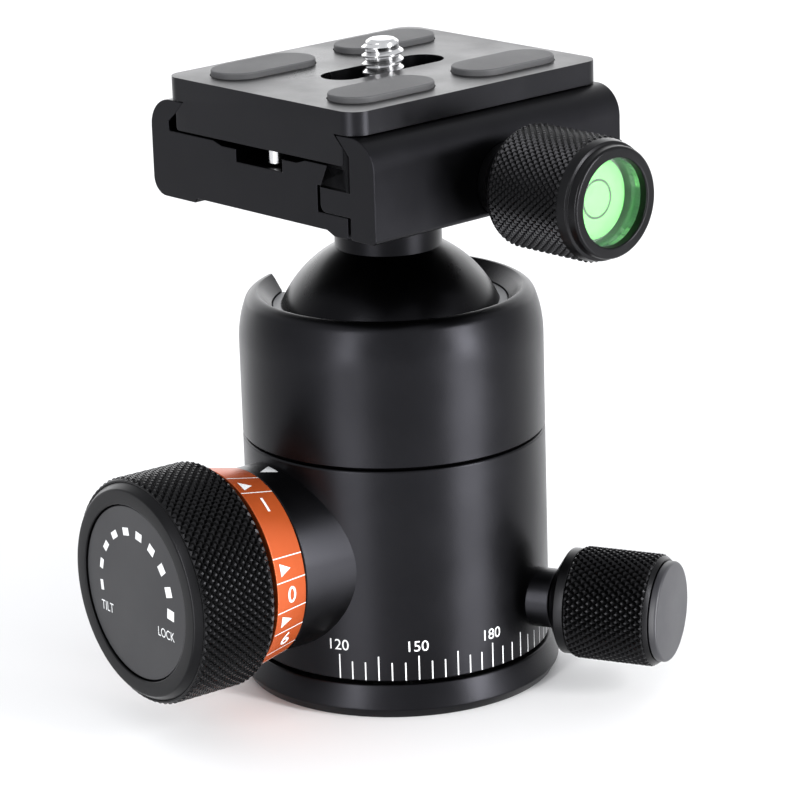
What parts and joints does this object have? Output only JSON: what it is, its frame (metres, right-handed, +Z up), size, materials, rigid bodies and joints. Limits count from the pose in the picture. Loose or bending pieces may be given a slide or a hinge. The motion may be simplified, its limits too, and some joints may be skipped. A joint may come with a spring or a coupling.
{
  "type": "tripod ball head",
  "caption": "Compact tripod ball head with panning base, screw-locked ball, portrait notch, and a quick release clamp with a bubble level in its knob.",
  "frame": {"origin": "centre of the base's underside, at the mouth of the tripod thread", "axes": "+Z up along the head's axis, +Y towards the portrait notch, -X along the lock knob"},
  "size_m": [0.0783, 0.0757, 0.1001],
  "materials": {
    "body_black": "black satin hard anodised, fine bead blasted grain",
    "ball_black": "black satin anodised ball",
    "clamp_black": "black satin anodised, fine grain",
    "plate_black": "black anodised, fine grain",
    "knob_black": "black anodised with diamond knurl",
    "cap_black": "black satin face with printed dial",
    "cap_grey": "dark grey satin end disc",
    "ring_orange": "orange anodised",
    "rubber_grey": "fine grained grip rubber",
    "steel": "stainless steel",
    "dark_steel": "black oxide steel",
    "brass": "turned brass",
    "liner_grey": "self lubricating plastic",
    "nylon_white": "white nylon",
    "level_case": "tinted moulded case",
    "level_green": "green level fluid",
    "level_clear": "clear window"
  },
  "bodies": {
    "base": {"pan_base": "body_black", "thread_insert": "steel", "glide_ring": "nylon_white", "pan_keeper": "steel", "keeper_screw": "dark_steel"},
    "housing": {"lower_housing": "body_black", "upper_housing": "body_black", "mouth_liner": "liner_grey", "lock_bush": "brass", "wedge_bed": "steel"},
    "ball_cup": {"ball_cup": "liner_grey"},
    "lock_wedge": {"lock_wedge": "brass"},
    "lock_knob": {"lock_spindle": "steel", "lock_knob": "knob_black", "lock_knob_cap": "cap_black"},
    "tension_ring": {"tension_ring": "ring_orange"},
    "pan_brake": {"pan_brake_shoe": "nylon_white"},
    "pan_knob": {"pan_spindle": "steel", "pan_knob": "knob_black", "pan_knob_cap": "cap_grey"},
    "ball": {"ball": "ball_black"},
    "stem": {"ball_stem": "ball_black"},
    "clamp": {"clamp_body": "clamp_black", "fixing_screw": "dark_steel", "fixing_washer": "steel"},
    "jaw": {"moving_jaw": "clamp_black", "guide_pins": "steel"},
    "clamp_knob": {"clamp_spindle": "steel", "knob_collar": "knob_black", "clamp_knob": "knob_black", "level_case": "level_case", "level_fluid": "level_green", "level_lens": "level_clear", "level_bezel": "knob_black"},
    "plate": {"quick_release_plate": "plate_black", "grip_pads": "rubber_grey", "stop_pins": "steel"},
    "screw_clip": {"screw_clip": "dark_steel"},
    "camera_screw": {"camera_screw": "steel"}
  },
  "joints": [
    {"name": "pan_turn", "type": "hinge", "parent": "base", "child": "housing", "pos_m": [0, 0, 0.0055], "axis": [0, 0, 1], "continuous": true},
    {"name": "lock_knob_turn", "type": "hinge", "parent": "housing", "child": "lock_knob", "pos_m": [-0.035, 0, 0.02324], "axis": [-1, 0, 0], "range_deg": [0, 240]},
    {"name": "lock_wedge_slide", "type": "slide", "parent": "housing", "child": "lock_wedge", "axis": [1, 0, 0], "range_m": [0, 0.0012]},
    {"name": "ball_cup_slide", "type": "slide", "parent": "housing", "child": "ball_cup", "axis": [0, 0, -1], "range_m": [0, 0.00017]},
    {"name": "tension_ring_turn", "type": "hinge", "parent": "housing", "child": "tension_ring", "pos_m": [-0.031, 0, 0.02324], "axis": [-1, 0, 0], "range_deg": [0, 300]},
    {"name": "pan_brake_slide", "type": "slide", "parent": "housing", "child": "pan_brake", "axis": [0.5, -0.866, 0], "range_m": [0, 0.0008]},
    {"name": "pan_knob_turn", "type": "hinge", "parent": "pan_brake", "child": "pan_knob", "pos_m": [0.018, -0.03118, 0.01347], "axis": [0.5, -0.866, 0], "range_deg": [0, 360]},
    {"name": "ball_swivel", "type": "hinge", "parent": "housing", "child": "ball", "pos_m": [0, 0, 0.05185], "axis": [0, 0, 1], "range_deg": [-360, 0]},
    {"name": "stem_tilt", "type": "hinge", "parent": "ball", "child": "stem", "pos_m": [0, 0, 0.05185], "axis": [-1, 0, 0], "range_deg": [-40, 90]},
    {"name": "clamp_turn", "type": "hinge", "parent": "stem", "child": "clamp", "pos_m": [0, 0, 0.0776], "axis": [0, 0, 1], "range_deg": [0, 360]},
    {"name": "jaw_slide", "type": "slide", "parent": "clamp", "child": "jaw", "axis": [0.0976, -0.9952, 0], "range_m": [0, 0.0025]},
    {"name": "clamp_knob_turn", "type": "hinge", "parent": "jaw", "child": "clamp_knob", "pos_m": [0.00411, -0.03577, 0.0821], "axis": [0.0976, -0.9952, 0], "range_deg": [0, 720]},
    {"name": "plate_slide", "type": "slide", "parent": "clamp", "child": "plate", "axis": [0.9952, 0.0976, 0], "range_m": [-0.011, 0.011]},
    {"name": "camera_screw_slide", "type": "slide", "parent": "plate", "child": "screw_clip", "axis": [0.9952, 0.0976, 0], "range_m": [-0.0075, 0.0075]},
    {"name": "camera_screw_turn", "type": "hinge", "parent": "screw_clip", "child": "camera_screw", "pos_m": [0, 0, 0.09], "axis": [0, 0, 1], "continuous": true}
  ],
  "couplings": [
    {"joint": "lock_wedge_slide", "follows": "lock_knob_turn", "m_per_rad": 0.00028648},
    {"joint": "ball_cup_slide", "follows": "lock_knob_turn", "m_per_rad": 0.000040262},
    {"joint": "pan_knob_turn", "follows": "pan_brake_slide", "rad_per_m": 7854},
    {"joint": "clamp_knob_turn", "follows": "jaw_slide", "rad_per_m": 5026.5}
  ]
}
